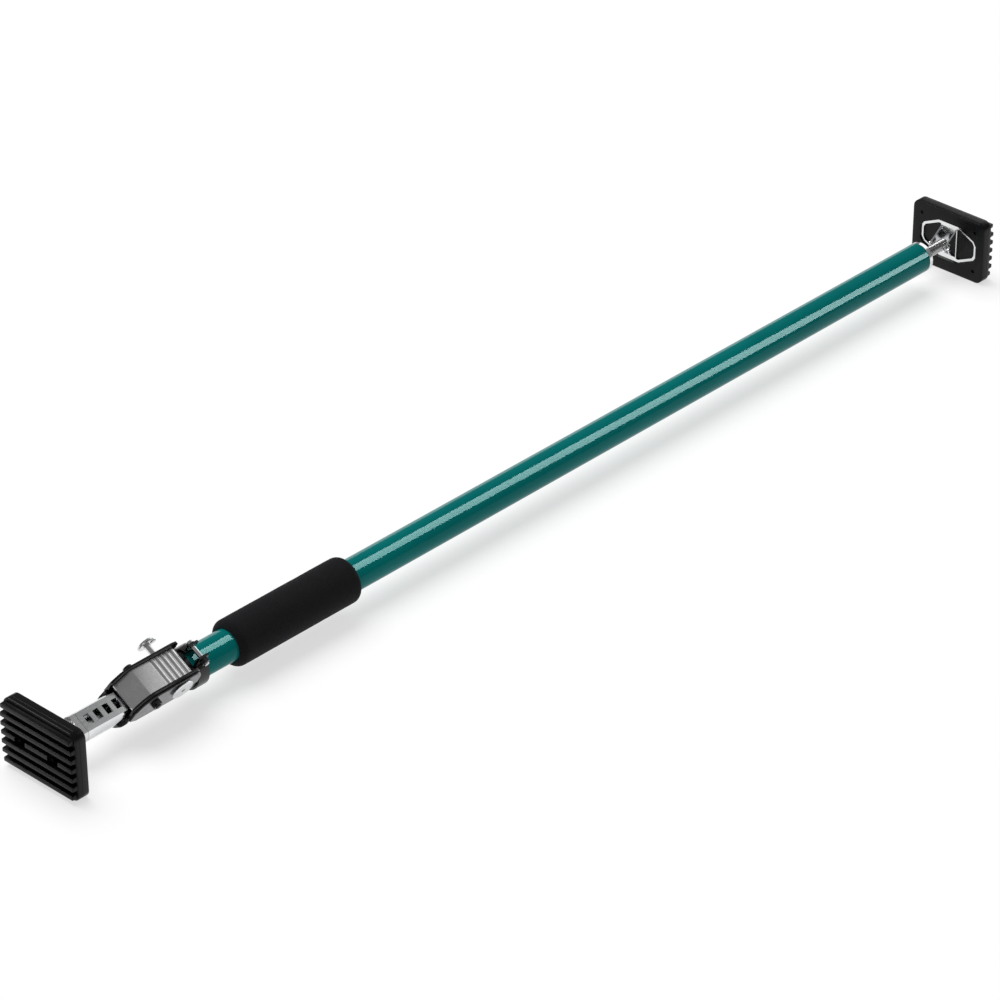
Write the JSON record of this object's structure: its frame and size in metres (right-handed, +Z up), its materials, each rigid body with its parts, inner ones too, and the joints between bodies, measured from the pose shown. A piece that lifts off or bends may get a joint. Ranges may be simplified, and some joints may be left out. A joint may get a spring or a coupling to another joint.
{
  "type": "telescopic cargo bar",
  "caption": "Telescopic cargo bar: enamelled tube with foam grip, sliding rack with thumb lever, screw foot and ribbed rubber feet on tilting brackets.",
  "frame": {"origin": "below the middle of the bar, level with the lower edges of both feet", "axes": "+X along the bar from the rack foot to the screw foot, +Y across the bar along the feet's long sides, +Z up"},
  "size_m": [1.3968, 0.1016, 0.079],
  "materials": {
    "teal_enamel": "gloss",
    "black_foam": "matte closed-cell foam",
    "black_rubber": "satin",
    "black_enamel": "gloss",
    "black_plastic": "satin",
    "bright_zinc": "bright plated",
    "satin_steel": "satin",
    "spring_steel": "satin",
    "grey_nylon": "matte"
  },
  "bodies": {
    "tube": {"outer_tube": "teal_enamel", "foam_grip": "black_foam", "tube_end_bush": "bright_zinc", "ratchet_frame": "black_enamel", "front_guide": "black_plastic", "near_cheek": "satin_steel", "far_cheek": "satin_steel", "clamp_collar": "black_enamel", "clamp_bolt": "bright_zinc", "clamp_nut": "black_enamel", "pivot_bolt": "black_enamel", "pivot_nut": "black_enamel", "pin_spring": "spring_steel"},
    "rack": {"rack_bar": "bright_zinc", "rack_end_plug": "satin_steel", "rack_tail_guide": "black_plastic"},
    "lever": {"lever": "satin_steel", "pawl": "spring_steel", "lever_spring": "spring_steel"},
    "release_pin": {"release_pin": "satin_steel", "pin_disc": "bright_zinc"},
    "left_swivel": {"left_yoke": "bright_zinc", "swivel_nut": "bright_zinc"},
    "left_foot": {"left_bracket": "bright_zinc", "left_pad": "black_rubber", "left_hinge_pin": "bright_zinc", "left_cotter": "bright_zinc"},
    "screw_guide": {"rod_guide": "grey_nylon"},
    "screw": {"threaded_rod": "bright_zinc", "rod_stop_nut": "bright_zinc"},
    "right_foot": {"right_bracket": "bright_zinc", "right_pad": "black_rubber", "right_hinge_pin": "bright_zinc", "right_cotter": "bright_zinc"}
  },
  "joints": [
    {"name": "rack_slide", "type": "slide", "parent": "tube", "child": "rack", "axis": [-1, 0, 0], "range_m": [-0.0236, 0.3304]},
    {"name": "lever_hinge", "type": "hinge", "parent": "tube", "child": "lever", "pos_m": [-0.571, -0.00875, 0.05325], "axis": [0, 0.866, 0.5], "range_deg": [-4, 3.5], "stiffness_Nm_per_rad": 1},
    {"name": "release_pin_slide", "type": "slide", "parent": "tube", "child": "release_pin", "axis": [0, -0.866, -0.5], "range_m": [0, 0.0075], "stiffness_N_per_m": 400, "springref_m": -0.004, "deforming": ["pin_spring"]},
    {"name": "left_swivel_turn", "type": "hinge", "parent": "rack", "child": "left_swivel", "pos_m": [-0.66425, 0, 0.0381], "axis": [1, 0, 0], "range_deg": [-180, 180]},
    {"name": "left_foot_tilt", "type": "hinge", "parent": "left_swivel", "child": "left_foot", "pos_m": [-0.66425, 0, 0.0381], "axis": [0, 1, 0], "range_deg": [-25, 25]},
    {"name": "screw_travel", "type": "slide", "parent": "tube", "child": "screw_guide", "axis": [1, 0, 0], "range_m": [-0.00879, 0.03517]},
    {"name": "screw_turn", "type": "hinge", "parent": "screw_guide", "child": "screw", "pos_m": [0.66425, 0, 0.0381], "axis": [1, 0, 0], "range_deg": [-1620, 6480]},
    {"name": "right_foot_tilt", "type": "hinge", "parent": "screw", "child": "right_foot", "pos_m": [0.66425, 0, 0.0381], "axis": [0, 1, 0], "range_deg": [-25, 25]}
  ],
  "couplings": [
    {"joint": "screw_travel", "follows": "screw_turn", "m_per_rad": 0.00031096}
  ]
}
